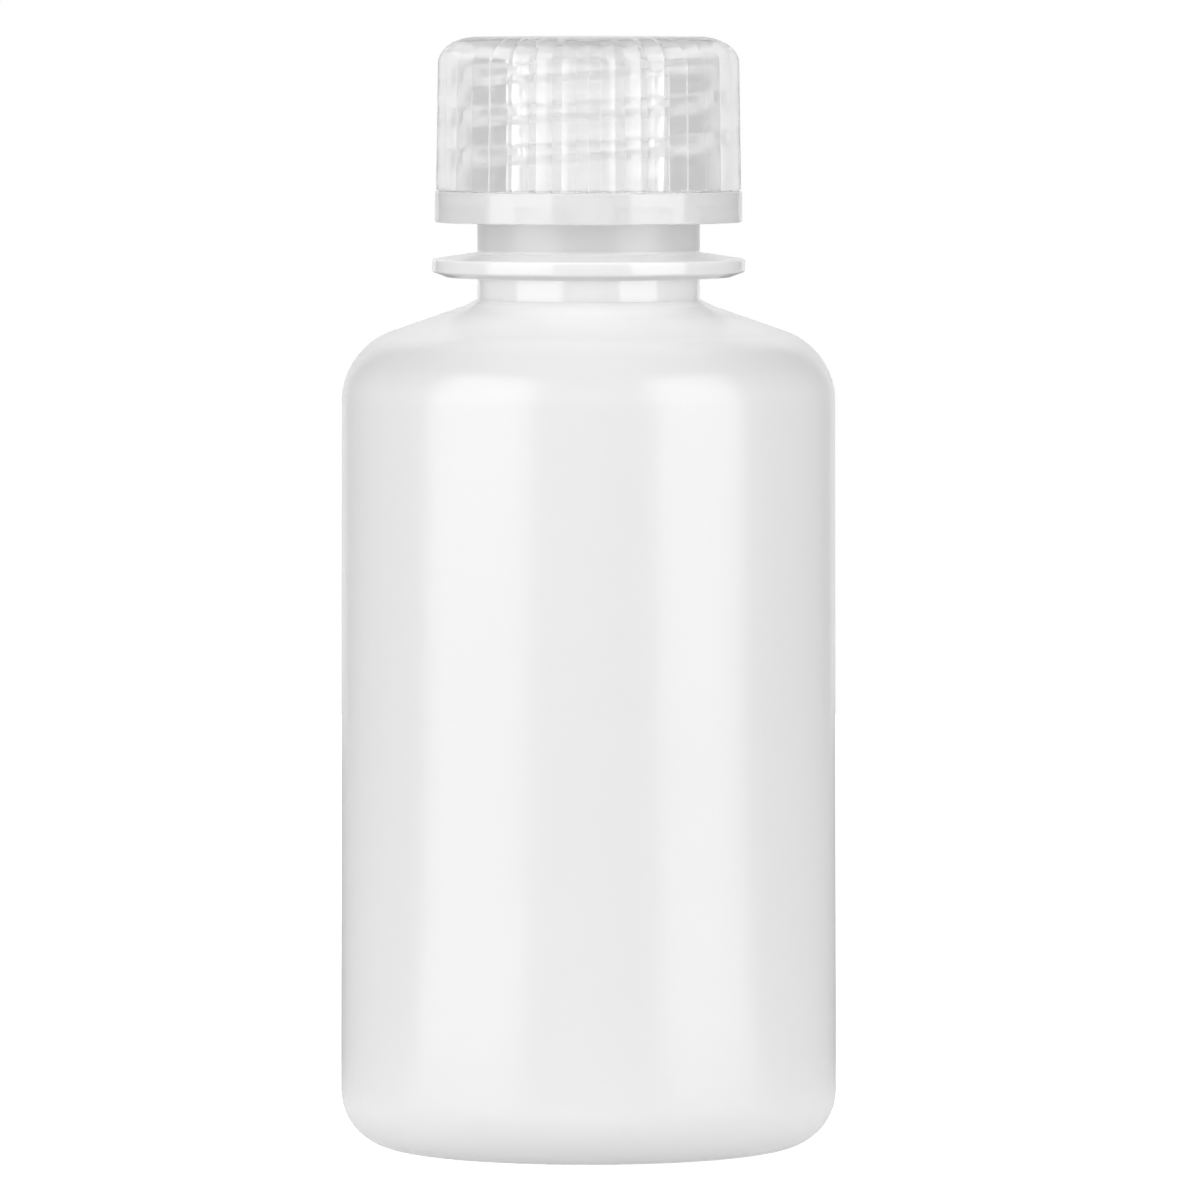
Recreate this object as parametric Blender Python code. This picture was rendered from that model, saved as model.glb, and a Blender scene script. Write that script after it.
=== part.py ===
# A 60 ml round plastic bottle with a ribbed screw cap, a sealing disc and a break-away band.
# Metres, +Z up. The origin is the centre of the plane that the bottle stands on.
# Every turned piece is drawn as an outline of (radius, height) corners and spun about Z.

import math

import bmesh
import bpy
from mathutils import Matrix, Vector

# Blow-moulded body
BODY_DIAMETER = 0.0392
BODY_DRAFT = 0.00012
BODY_WALL = 0.0012
SHOULDER_HEIGHT = 0.06318
SHOULDER_ROUND = 0.0055
SHOULDER_SLOPE = math.radians(19.4)
BASE_ROUND = 0.0045
STANDING_RING_WIDTH = 0.0022
BASE_HOLLOW_DEPTH = 0.0012

# Neck, from the shoulder up
NECK_DIAMETER = 0.01756
NECK_WALL = 0.00155
NECK_ROOT_WIDTH = 0.0008
NECK_ROOT_SLOPE = math.radians(29.0)
NECK_ROOT_ROUND = 0.006
NECK_LEDGE = 0.00012
NECK_FOOT_HEIGHT = 0.00163
BORE_ROUND = 0.0015
RIM_ROUND = 0.0003

# Support flange round the neck
FLANGE_WIDTH = 0.00358
FLANGE_RIM_HEIGHT = 0.00126
FLANGE_TOP_RISE = 0.00052
FLANGE_UNDER_RISE = 0.00032
FLANGE_CHAMFER_WIDTH = 0.0011
FLANGE_ROUND = 0.0002

# Bead that holds the band on the neck
BEAD_DEPTH = 0.0011
BEAD_HEIGHT = 0.0008

# Room for the screw thread between the neck and the cap
THREAD_DEPTH = 0.001
THREAD_CLEARANCE = 0.00035

# Injection-moulded cap
CAP_HEIGHT = 0.01208
CAP_WALL = 0.00125
CAP_PANEL = 0.0009
CAP_ROUND = 0.0021
CAP_DRAFT = 0.0001
CAP_LEAD_IN = 0.0004
RIB_COUNT = 36
RIB_DEPTH = 0.00068

# Ridge inside the cap that keeps the sealing disc in
KEEPER_CATCH = 0.00015
KEEPER_HEIGHT = 0.0004

# Sealing disc
DISC_THICKNESS = 0.0006
DISC_CHAMFER = 0.0001

# Break-away band
BAND_HEIGHT = 0.00238
BAND_WALL = 0.0009
BAND_PROUD = 0.00007
BAND_CHAMFER = 0.0001
BAND_SLIT = 0.00015
BAND_DROP_ROOM = 0.0024
PAWL_COUNT = 9
PAWL_FILL_SHARE = 0.62
PAWL_CATCH = 0.0005
PAWL_HEIGHT = 0.001
PAWL_TIP_HEIGHT = 0.0004
BRIDGE_COUNT = 12
BRIDGE_WIDTH = 0.0006
BRIDGE_ROOT = 0.0004
BRIDGE_GAP = 0.00005
BRIDGE_TURN_SHARE = 0.25

# Fits
SEAT_GAP = 0.00025
BEAD_GAP = 0.0003

# Fineness of the round faces
BODY_STEPS = 56
ARC_STEP = math.radians(18.0)
ARC_PIECE = 0.0005
SHARP_ANGLE = math.radians(28.0)
MERGE_DISTANCE = 0.000001

# Radii that follow from the sizes above
BODY_RADIUS = BODY_DIAMETER / 2
NECK_RADIUS = NECK_DIAMETER / 2
BORE_RADIUS = NECK_RADIUS - NECK_WALL
FLANGE_RADIUS = NECK_RADIUS + FLANGE_WIDTH
BEAD_RADIUS = NECK_RADIUS + BEAD_DEPTH
CAP_BORE_RADIUS = NECK_RADIUS + THREAD_DEPTH + THREAD_CLEARANCE
CAP_RADIUS = CAP_BORE_RADIUS + CAP_WALL + RIB_DEPTH
DISC_RADIUS = CAP_BORE_RADIUS - SEAT_GAP
BAND_RADIUS = CAP_RADIUS + BAND_PROUD
BAND_BORE_RADIUS = BAND_RADIUS - BAND_WALL
PAWL_TIP_RADIUS = BEAD_RADIUS - PAWL_CATCH


def shoulder_line(radius):
    """Height of the shoulder's cone at a radius, before its ends are rounded."""
    return SHOULDER_HEIGHT + (BODY_RADIUS - BODY_DRAFT - radius) * math.tan(SHOULDER_SLOPE)


# Heights that follow, from the neck's root up to the top of the cap
ROOT_OUTER_RADIUS = NECK_RADIUS + NECK_LEDGE + NECK_ROOT_WIDTH
NECK_BASE = shoulder_line(ROOT_OUTER_RADIUS) + NECK_ROOT_WIDTH * math.tan(NECK_ROOT_SLOPE)
FLANGE_UNDER = NECK_BASE + NECK_FOOT_HEIGHT
FLANGE_RIM_BOTTOM = FLANGE_UNDER + FLANGE_UNDER_RISE
FLANGE_RIM_TOP = FLANGE_RIM_BOTTOM + FLANGE_RIM_HEIGHT
FLANGE_TOP = FLANGE_RIM_TOP + FLANGE_TOP_RISE
BAND_BOTTOM = FLANGE_TOP + BAND_DROP_ROOM
BEAD_BOTTOM = BAND_BOTTOM + PAWL_HEIGHT + BEAD_GAP
BEAD_TOP = BEAD_BOTTOM + BEAD_HEIGHT
CAP_BOTTOM = BAND_BOTTOM + BAND_HEIGHT + BAND_SLIT
DISC_BOTTOM = CAP_BOTTOM + CAP_HEIGHT - CAP_PANEL - SEAT_GAP - DISC_THICKNESS
NECK_RIM = DISC_BOTTOM - SEAT_GAP


def clear_scene():
    for obj in list(bpy.data.objects):
        bpy.data.objects.remove(obj, do_unlink=True)


def plastic(name, colour, roughness, clearness):
    """A plastic of one colour; clearness is the part of the light that goes straight through."""
    material = bpy.data.materials.new(name)
    material.use_nodes = True
    shader = material.node_tree.nodes["Principled BSDF"]
    shader.inputs["Base Color"].default_value = (*colour, 1.0)
    shader.inputs["Roughness"].default_value = roughness
    shader.inputs["Metallic"].default_value = 0.0
    shader.inputs["Transmission Weight"].default_value = clearness
    material.diffuse_color = (*colour, 1.0)
    return material


def bottle_plastic():
    return plastic("milky_polyethylene", (0.88, 0.88, 0.88), 0.42, 0.0)


def cap_plastic():
    return plastic("clear_polypropylene", (0.90, 0.90, 0.90), 0.18, 0.6)


def disc_plastic():
    return plastic("soft_polyethylene", (0.92, 0.92, 0.91), 0.5, 0.2)


def rounded(corners):
    """Outline points of (radius, height, rounding) corners, a tangent arc for each rounding.

    A rounding that is left out is a sharp corner, and no arc takes more than half a side.
    """
    spots = [Vector(corner[:2]) for corner in corners]
    roundings = [corner[2] if len(corner) > 2 else 0 for corner in corners]
    points = []
    for index, (spot, rounding) in enumerate(zip(spots, roundings)):
        if not rounding:
            points.append(spot)
            continue
        back = spots[index - 1] - spot
        ahead = spots[(index + 1) % len(spots)] - spot
        half = back.angle(ahead) / 2
        reach = min(rounding / math.tan(half), back.length / 2, ahead.length / 2)
        start = spot + back.normalized() * reach
        end = spot + ahead.normalized() * reach
        to_centre = (back.normalized() + ahead.normalized()).normalized()
        centre = spot + to_centre * (reach / math.cos(half))
        radius = reach * math.tan(half)
        turn = math.pi - 2 * half
        pieces = max(2, round(min(turn / ARC_STEP, turn * radius / ARC_PIECE)))
        for piece in range(pieces + 1):
            direction = (start - centre).slerp(end - centre, piece / pieces)
            points.append(centre + direction * radius)
    return points


def add_turned(bm, outline, steps, closed=False):
    """Spin an outline a full turn about Z; a closed outline makes a ring."""
    verts = [bm.verts.new((point.x, 0.0, point.y)) for point in outline]
    ends = verts[1:] + verts[:1] if closed else verts[1:]
    edges = [bm.edges.new(pair) for pair in zip(verts, ends)]
    bmesh.ops.spin(
        bm,
        geom=verts + edges,
        cent=(0.0, 0.0, 0.0),
        axis=(0.0, 0.0, 1.0),
        angle=math.tau,
        steps=steps,
        use_merge=True,
    )
    bmesh.ops.remove_doubles(bm, verts=bm.verts, dist=MERGE_DISTANCE)


def finished(bm, name, material, height=0.0):
    """The mesh as a smooth-shaded object that faces out, at its height on the axis."""
    bmesh.ops.recalc_face_normals(bm, faces=bm.faces)
    mesh = bpy.data.meshes.new(name)
    bm.to_mesh(mesh)
    bm.free()
    mesh.shade_smooth()
    mesh.set_sharp_from_angle(angle=SHARP_ANGLE)
    mesh.materials.append(material)
    obj = bpy.data.objects.new(name, mesh)
    obj.location.z = height
    bpy.context.scene.collection.objects.link(obj)
    return obj


def base_hollow(radius, height):
    """Points of the shallow dome under the base, from its edge to the axis."""
    angle = 2 * math.atan(BASE_HOLLOW_DEPTH / radius)
    sphere = radius / math.sin(angle)
    pieces = max(2, round(angle / (ARC_STEP / 6)))
    points = []
    for piece in range(1, pieces + 1):
        lean = angle * (1 - piece / pieces)
        rise = sphere * (math.cos(lean) - math.cos(angle))
        points.append(Vector((sphere * math.sin(lean), height + rise)))
    return points


def neck_outside():
    """Corners down the outside of the neck: rim, bead, flange and root."""
    root_top = (NECK_RADIUS + NECK_LEDGE, NECK_BASE)
    root_bottom = (ROOT_OUTER_RADIUS, shoulder_line(ROOT_OUTER_RADIUS), NECK_ROOT_ROUND)
    return [
        (NECK_RADIUS, NECK_RIM, RIM_ROUND),
        (NECK_RADIUS, BEAD_TOP),
        (BEAD_RADIUS, BEAD_BOTTOM + BEAD_HEIGHT / 3),
        (BEAD_RADIUS, BEAD_BOTTOM),
        (NECK_RADIUS, BEAD_BOTTOM),
        (NECK_RADIUS, FLANGE_TOP),
        (FLANGE_RADIUS, FLANGE_RIM_TOP, FLANGE_ROUND),
        (FLANGE_RADIUS, FLANGE_RIM_BOTTOM, FLANGE_ROUND),
        (FLANGE_RADIUS - FLANGE_CHAMFER_WIDTH, FLANGE_UNDER, FLANGE_ROUND),
        (NECK_RADIUS, FLANGE_UNDER),
        (NECK_RADIUS, NECK_BASE),
        root_top,
        root_bottom,
    ]


def bottle_outline():
    """The whole wall as one outline, up the inside, over the rim and down the outside."""
    ring_radius = BODY_RADIUS - BASE_ROUND
    hollow_radius = ring_radius - STANDING_RING_WIDTH
    inner_radius = BODY_RADIUS - BODY_WALL
    inner_drop = BODY_WALL / math.cos(SHOULDER_SLOPE)
    inner_top_radius = inner_radius - BODY_DRAFT
    inner_shoulder = shoulder_line(inner_top_radius) - inner_drop
    inside = [
        (hollow_radius, BODY_WALL),
        (inner_radius, BODY_WALL, BASE_ROUND - BODY_WALL),
        (inner_top_radius, inner_shoulder, SHOULDER_ROUND - BODY_WALL),
        (BORE_RADIUS, shoulder_line(BORE_RADIUS) - inner_drop, BORE_ROUND),
        (BORE_RADIUS, NECK_RIM, RIM_ROUND),
    ]
    outside = neck_outside() + [
        (BODY_RADIUS - BODY_DRAFT, SHOULDER_HEIGHT, SHOULDER_ROUND),
        (BODY_RADIUS, 0.0, BASE_ROUND),
        (hollow_radius, 0.0),
    ]
    floor = base_hollow(hollow_radius, BODY_WALL)
    return floor[::-1] + rounded(inside + outside) + base_hollow(hollow_radius, 0.0)


def bottle_body():
    bm = bmesh.new()
    add_turned(bm, bottle_outline(), BODY_STEPS)
    return finished(bm, "bottle_body", bottle_plastic())


def cap_outside():
    """Outside of the cap along the points of its ribs, from the middle of the top down."""
    return rounded(
        [
            (0.0, CAP_HEIGHT),
            (CAP_RADIUS - CAP_DRAFT, CAP_HEIGHT, CAP_ROUND),
            (CAP_RADIUS, 0.0),
        ]
    )


def cap_inside():
    """Inside of the cap, from its mouth up past the keeper ridge to the panel."""
    disc_level = DISC_BOTTOM - CAP_BOTTOM
    keeper_top = disc_level - SEAT_GAP
    keeper_middle = keeper_top - KEEPER_HEIGHT / 2
    return rounded(
        [
            (CAP_BORE_RADIUS + CAP_LEAD_IN, 0.0),
            (CAP_BORE_RADIUS, CAP_LEAD_IN),
            (CAP_BORE_RADIUS, keeper_top - KEEPER_HEIGHT),
            (DISC_RADIUS - KEEPER_CATCH, keeper_middle),
            (CAP_BORE_RADIUS, keeper_top),
            (CAP_BORE_RADIUS, CAP_HEIGHT - CAP_PANEL),
            (0.0, CAP_HEIGHT - CAP_PANEL),
        ]
    )


def draw_in_ribs(bm):
    """Draw every second line of the outside in, which leaves pointed ribs between them.

    The depth runs out over the rounded edge, so the ribs fade into the flat top.
    """
    flat_radius = CAP_RADIUS - CAP_DRAFT - CAP_ROUND
    for vert in bm.verts:
        radius = vert.co.xy.length
        line = round(math.atan2(vert.co.y, vert.co.x) * RIB_COUNT / math.pi)
        if line % 2 and radius > flat_radius:
            depth = RIB_DEPTH * min(1.0, (radius - flat_radius) / CAP_ROUND)
            vert.co.xy *= (radius - depth) / radius


def cap_shell():
    bm = bmesh.new()
    steps = 2 * RIB_COUNT
    add_turned(bm, cap_outside(), steps)
    draw_in_ribs(bm)
    add_turned(bm, cap_inside(), steps)
    rims = [edge for edge in bm.edges if edge.is_boundary]
    bmesh.ops.bridge_loops(bm, edges=rims)
    return finished(bm, "cap_shell", cap_plastic(), CAP_BOTTOM)


def seal_disc():
    bm = bmesh.new()
    outline = rounded(
        [
            (0.0, DISC_THICKNESS),
            (DISC_RADIUS - DISC_CHAMFER, DISC_THICKNESS),
            (DISC_RADIUS, DISC_THICKNESS - DISC_CHAMFER),
            (DISC_RADIUS, DISC_CHAMFER),
            (DISC_RADIUS - DISC_CHAMFER, 0.0),
            (0.0, 0.0),
        ]
    )
    add_turned(bm, outline, BODY_STEPS)
    return finished(bm, "seal_disc", disc_plastic(), DISC_BOTTOM)


def band_outline():
    """Section of the band, whose in-turned lip catches under the bead of the neck."""
    return rounded(
        [
            (BAND_RADIUS - BAND_CHAMFER, BAND_HEIGHT),
            (BAND_RADIUS, BAND_HEIGHT - BAND_CHAMFER),
            (BAND_RADIUS, BAND_CHAMFER),
            (BAND_RADIUS - BAND_CHAMFER, 0.0),
            (BAND_BORE_RADIUS, 0.0),
            (PAWL_TIP_RADIUS, PAWL_HEIGHT - PAWL_TIP_HEIGHT),
            (PAWL_TIP_RADIUS, PAWL_HEIGHT),
            (BAND_BORE_RADIUS, PAWL_HEIGHT + PAWL_TIP_HEIGHT),
            (BAND_BORE_RADIUS, BAND_HEIGHT),
        ]
    )


def part_the_pawls(bm):
    """Push the lip back to the wall at even spaces, which leaves one pawl in each."""
    for vert in bm.verts:
        radius = vert.co.xy.length
        turn = math.atan2(vert.co.y, vert.co.x) / math.tau
        between = (turn * PAWL_COUNT) % 1 > PAWL_FILL_SHARE
        if between and radius < BAND_BORE_RADIUS - MERGE_DISTANCE:
            vert.co.xy *= BAND_BORE_RADIUS / radius


def band_bridges():
    """The thin posts on the band's top edge that tie it to the cap until it is first opened."""
    bm = bmesh.new()
    height = BRIDGE_ROOT + BAND_SLIT - BRIDGE_GAP
    middle_radius = BAND_RADIUS - BAND_WALL / 2
    middle_height = BAND_HEIGHT - BRIDGE_ROOT + height / 2
    for index in range(BRIDGE_COUNT):
        size = Matrix.Diagonal((BAND_WALL / 2, BRIDGE_WIDTH, height, 1.0))
        out = Matrix.Translation((middle_radius, 0.0, middle_height))
        turn = Matrix.Rotation(math.tau * (index + BRIDGE_TURN_SHARE) / BRIDGE_COUNT, 4, "Z")
        bmesh.ops.create_cube(bm, size=1.0, matrix=turn @ out @ size)
    bridges = finished(bm, "band_bridges", cap_plastic(), BAND_BOTTOM)
    bridges.hide_render = True
    bridges.display_type = "WIRE"
    return bridges


def tamper_band():
    bm = bmesh.new()
    add_turned(bm, band_outline(), 2 * RIB_COUNT, closed=True)
    part_the_pawls(bm)
    band = finished(bm, "tamper_band", cap_plastic(), BAND_BOTTOM)
    join = band.modifiers.new("bridges", "BOOLEAN")
    join.operation = "UNION"
    join.solver = "EXACT"
    join.object = band_bridges()
    return band


def build():
    clear_scene()
    bottle = bottle_body()
    closure = bpy.data.objects.new("closure_axis", None)
    bpy.context.scene.collection.objects.link(closure)
    for piece in (cap_shell(), seal_disc(), tamper_band()):
        piece.parent = closure
    closure.parent = bottle


build()
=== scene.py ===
# %% [markdown]
# # A plastic bottle with a ribbed screw cap
# The object is a 60 ml round bottle of milky plastic with a clear ribbed cap, a thin sealing
# disc inside the cap and a break-away band under it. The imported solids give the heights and
# the outer radii. This script keeps them and gives each piece its fine shape and its finish.

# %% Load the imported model
import math

import bmesh
import bpy
from mathutils import Matrix, Vector


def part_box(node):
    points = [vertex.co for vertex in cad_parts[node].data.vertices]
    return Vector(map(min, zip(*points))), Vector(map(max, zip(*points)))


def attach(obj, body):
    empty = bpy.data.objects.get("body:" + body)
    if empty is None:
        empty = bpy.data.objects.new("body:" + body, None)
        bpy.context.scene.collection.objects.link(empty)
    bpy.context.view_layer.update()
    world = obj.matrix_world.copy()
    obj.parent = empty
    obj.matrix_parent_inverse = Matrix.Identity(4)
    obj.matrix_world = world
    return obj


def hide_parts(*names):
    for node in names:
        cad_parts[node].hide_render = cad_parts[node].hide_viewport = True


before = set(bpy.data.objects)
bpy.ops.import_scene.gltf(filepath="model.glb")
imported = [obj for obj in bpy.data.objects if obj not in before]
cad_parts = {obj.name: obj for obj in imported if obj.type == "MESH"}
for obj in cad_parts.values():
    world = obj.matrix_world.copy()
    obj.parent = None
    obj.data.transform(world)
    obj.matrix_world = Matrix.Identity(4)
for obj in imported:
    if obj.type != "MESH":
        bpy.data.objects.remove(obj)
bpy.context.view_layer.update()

MM = 0.001

# %% [markdown]
# ## Heights from the solids
# Each piece has to sit where its solid sits, so the heights come from the boxes of the
# solids. Only what a box can't say, such as a wall or a rounding, is given as a size here.

# %% Read the heights and radii of the solids
bottle_low, bottle_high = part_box("bottle_body")
cap_low, cap_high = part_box("cap_shell")
disc_low, disc_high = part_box("seal_disc")
band_low, band_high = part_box("tamper_band")

NECK_RIM = bottle_high.z
CAP_BOTTOM = cap_low.z
CAP_TOP = cap_high.z
BAND_BOTTOM = band_low.z
CAP_RADIUS = cap_high.x
BAND_RADIUS = band_high.x
DISC_RADIUS = disc_high.x
print("bottle from", round(bottle_low.z / MM, 2), "to", round(NECK_RIM / MM, 2), "mm")
print("cap from", round(CAP_BOTTOM / MM, 2), "to", round(CAP_TOP / MM, 2), "mm")

# %% [markdown]
# ## The camera
# A long lens far away keeps the bottle's sides parallel, as a product photographer does.
# The camera stands a little above the bottle and is pitched down, without any lens shift.

# %% Place the camera
LENS = 360 * MM
SENSOR = 36 * MM
AIM = Vector((0.9 * MM, 0.0, 43.3 * MM))
CAMERA_DISTANCE = 949 * MM
CAMERA_RISE = math.radians(3.1)

camera_data = bpy.data.cameras.new("camera")
camera_data.lens = LENS / MM
camera_data.sensor_width = SENSOR / MM
camera = bpy.data.objects.new("camera", camera_data)
back = Vector((0.0, -math.cos(CAMERA_RISE), math.sin(CAMERA_RISE)))
camera.location = AIM + back * CAMERA_DISTANCE
camera.rotation_euler = (math.pi / 2 - CAMERA_RISE, 0.0, 0.0)
bpy.context.scene.collection.objects.link(camera)
bpy.context.scene.camera = camera
bpy.context.scene.view_settings.view_transform = "Standard"
print("camera at", [round(value, 3) for value in camera.location])

# %% [markdown]
# ## How shader nodes are joined
# A finish is a net of nodes, and most of them only work out a number. Four small helpers keep
# such a net short: one adds a node, one splits a place into its three axes, one reckons with
# sockets and numbers, and one goes softly from one level to another.

# %% Write the helpers for shader nodes
def node_for(tree, kind, **settings):
    """A new shader node with its settings, or its input values by name."""
    node = tree.nodes.new(kind)
    for key, value in settings.items():
        if key in node.inputs:
            node.inputs[key].default_value = value
        else:
            setattr(node, key, value)
    return node


def axes_of(tree, place):
    """The X, Y and Z sockets of a place."""
    split = node_for(tree, "ShaderNodeSeparateXYZ")
    tree.links.new(place, split.inputs[0])
    return split.outputs


def reckon(tree, operation, *terms):
    """A Math node on up to three terms, each a socket or a number; gives its result."""
    node = node_for(tree, "ShaderNodeMath", operation=operation)
    for index, term in enumerate(terms):
        if isinstance(term, (int, float)):
            node.inputs[index].default_value = term
        else:
            tree.links.new(term, node.inputs[index])
    return node.outputs[0]


def soft_step(tree, value, span, levels):
    """Goes softly from the first level to the second as the value crosses the span."""
    step = node_for(tree, "ShaderNodeMapRange", interpolation_type="SMOOTHSTEP")
    for name, number in zip(("From Min", "From Max", "To Min", "To Max"), (*span, *levels)):
        step.inputs[name].default_value = number
    tree.links.new(value, step.inputs["Value"])
    return step.outputs["Result"]


# %% [markdown]
# ## The white board it stands on
# The bottle stands on a sheet of polished white acrylic. Seen at a low angle such a sheet
# mirrors the two lamps, so the bands of light on the bottle run down to its foot. A rough
# surface blurs a real mirror, so the lamps' mirror image is painted on the board instead, as
# two wedges of light that only gloss sees. The camera sees matt white with the shadow on it.
# A little white is added, and more far away, so that the board meets the white background.
# From below the board can't be seen, so that the base of the bottle can be looked at.

# %% Set the board's levels
BOARD_RADIUS = 540 * MM
BOARD_SIDES = 96
BOARD_GAP = 0.02 * MM
NEAR_COLOUR = 0.74
FAR_COLOUR = 0.58
NEAR_LIFT = 0.50
FAR_LIFT = 1.0
NEAR_GLOW = 0.8
FAR_GLOW = 0.3
WEDGE_SHARE = 0.75

# Between which distances from the bottle each level changes
COLOUR_REACH = (30 * MM, 120 * MM)
LIFT_REACH = (80 * MM, 320 * MM)
WEDGE_REACH = (25 * MM, 100 * MM)
GLOW_REACH = (25 * MM, 90 * MM)

# The two directions in degrees that each lamp lies between, 0 being in front
LAMP_SPANS = {"left": (-79.0, -27.0), "right": (31.5, 75.5)}
LAMP_RADIANCE = {"left": 2.93, "right": 3.1}
for lamp_side, (nearest, farthest) in LAMP_SPANS.items():
    print(lamp_side, "lamp is", farthest - nearest, "degrees wide")


# %% Paint the board
def new_material(name):
    """A material with its node tree."""
    material = bpy.data.materials.new(name)
    material.use_nodes = True
    return material, material.node_tree


def light_for_gloss(tree, place, away):
    """What gloss sees on the board: a glow, and under each lamp a wedge of that lamp's light.
    The wedges start a little way off the bottle, or they would burn out its foot."""
    axes = axes_of(tree, place)
    turn = reckon(tree, "ARCTAN2", axes["X"], reckon(tree, "MULTIPLY", axes["Y"], -1.0))
    reach = soft_step(tree, away, WEDGE_REACH, (0.0, WEDGE_SHARE))
    light = soft_step(tree, away, GLOW_REACH, (NEAR_GLOW, FAR_GLOW))
    for side, (nearest, farthest) in LAMP_SPANS.items():
        middle = math.radians((nearest + farthest) / 2)
        half_width = math.radians(farthest - nearest) / 2
        wedge = reckon(tree, "COMPARE", turn, middle, half_width)
        lit_wedge = reckon(tree, "MULTIPLY", wedge, LAMP_RADIANCE[side])
        light = reckon(tree, "ADD", reckon(tree, "MULTIPLY", lit_wedge, reach), light)
    return light


def board_paint():
    """Matt white to the camera, a picture of the lamps to gloss, and open from below."""
    material, tree = new_material("board_paint")
    tree.nodes.clear()
    place = node_for(tree, "ShaderNodeTexCoord").outputs["Object"]
    distance = node_for(tree, "ShaderNodeVectorMath", operation="LENGTH")
    tree.links.new(place, distance.inputs[0])
    away = distance.outputs["Value"]

    # A ray that passes through plastic counts as gloss too, so it is taken off again
    rays = node_for(tree, "ShaderNodeLightPath").outputs
    not_through = reckon(tree, "SUBTRACT", rays["Is Glossy Ray"], rays["Is Transmission Ray"])
    only_gloss = reckon(tree, "MAXIMUM", 0.0, not_through)
    others = reckon(tree, "SUBTRACT", 1.0, only_gloss)

    colour = soft_step(tree, away, COLOUR_REACH, (NEAR_COLOUR, FAR_COLOUR))
    paint = node_for(tree, "ShaderNodeBsdfDiffuse")
    tree.links.new(reckon(tree, "MULTIPLY", colour, others), paint.inputs["Color"])

    lift = soft_step(tree, away, LIFT_REACH, (NEAR_LIFT, FAR_LIFT))
    looked_at = reckon(tree, "MULTIPLY", rays["Is Camera Ray"], lift)
    seen_through = reckon(tree, "MULTIPLY", rays["Is Transmission Ray"], NEAR_LIFT)
    mirrored = reckon(tree, "MULTIPLY", only_gloss, light_for_gloss(tree, place, away))
    strength = reckon(tree, "ADD", reckon(tree, "MAXIMUM", looked_at, seen_through), mirrored)
    glow = node_for(tree, "ShaderNodeEmission")
    tree.links.new(strength, glow.inputs["Strength"])

    both = node_for(tree, "ShaderNodeAddShader")
    tree.links.new(paint.outputs[0], both.inputs[0])
    tree.links.new(glow.outputs[0], both.inputs[1])
    one_sided = node_for(tree, "ShaderNodeMixShader")
    facing = node_for(tree, "ShaderNodeNewGeometry")
    tree.links.new(facing.outputs["Backfacing"], one_sided.inputs[0])
    tree.links.new(both.outputs[0], one_sided.inputs[1])
    tree.links.new(node_for(tree, "ShaderNodeBsdfTransparent").outputs[0], one_sided.inputs[2])
    out = node_for(tree, "ShaderNodeOutputMaterial")
    tree.links.new(one_sided.outputs[0], out.inputs["Surface"])
    return material


bm = bmesh.new()
bmesh.ops.create_circle(bm, cap_ends=True, segments=BOARD_SIDES, radius=BOARD_RADIUS)
bmesh.ops.translate(bm, vec=(0.0, 0.0, -BOARD_GAP), verts=bm.verts)
board_mesh = bpy.data.meshes.new("board")
bm.to_mesh(board_mesh)
bm.free()
board = bpy.data.objects.new("board", board_mesh)
board.data.materials.append(board_paint())
bpy.context.scene.collection.objects.link(board)
print("board", BOARD_RADIUS / MM, "mm in radius")

# %% [markdown]
# ## Lamps and background
# Two tall soft boxes stand in front, left and right. They give the two upright bands of
# light on the wall. A weaker one stands behind, so that the back isn't dark. Gloss and clear
# plastic don't see that one, or it would drown the outline of the shoulder and shine through
# the cap. A light hangs overhead, and the rest of the room is dim. Only the camera, gloss and
# clear plastic see the white backdrop, so it doesn't light the milky plastic from behind.

# %% Hang the soft boxes
LAMP_DISTANCE = 550 * MM
LAMP_FOOT = 0 * MM
LAMP_HEAD = 620 * MM
BACK_SPAN = (143.0, 217.0)
BACK_RADIANCE = 1.2


def soft_box(side, span, radiance):
    """A tall area lamp between two directions in degrees, 0 being in front."""
    nearest, farthest = span
    angle = math.radians((nearest + farthest) / 2)
    wide = 2 * LAMP_DISTANCE * math.tan(math.radians(farthest - nearest) / 2)
    tall = LAMP_HEAD - LAMP_FOOT
    data = bpy.data.lights.new("soft_box_" + side, "AREA")
    data.shape = "RECTANGLE"
    data.size = wide
    data.size_y = tall
    data.energy = radiance * math.pi * wide * tall
    lamp = bpy.data.objects.new("soft_box_" + side, data)
    outward = Vector((math.sin(angle), -math.cos(angle), 0.0))
    lamp.location = outward * LAMP_DISTANCE + Vector((0.0, 0.0, (LAMP_HEAD + LAMP_FOOT) / 2))
    lamp.rotation_euler = outward.to_track_quat("Z", "Y").to_euler()
    lamp.visible_camera = False
    bpy.context.scene.collection.objects.link(lamp)
    print(lamp.name, [round(value, 3) for value in lamp.location])
    return lamp


for lamp_side, lamp_span in LAMP_SPANS.items():
    soft_box(lamp_side, lamp_span, LAMP_RADIANCE[lamp_side])
back_lamp = soft_box("back", BACK_SPAN, BACK_RADIANCE)
back_lamp.visible_transmission = False
back_lamp.visible_glossy = False

# %% Paint the world
ROOM_GLOW = 0.1
OVERHEAD_GLOW = 0.8
GLOSS_BACKDROP = 0.8
CLEAR_BACKDROP = 0.90
CLEAR_SIDE = 0.25

# Where each light of the world fades in or out, on the X, Y or Z of a direction of length 1
BACKDROP_HEAD = (0.60, 0.72)
OVERHEAD_START = (0.72, 0.92)
BACKDROP_START = (0.0, 0.1)
BACKDROP_SIDES = (0.38, 0.50)
WINGS_START = (0.56, 0.94)


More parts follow.
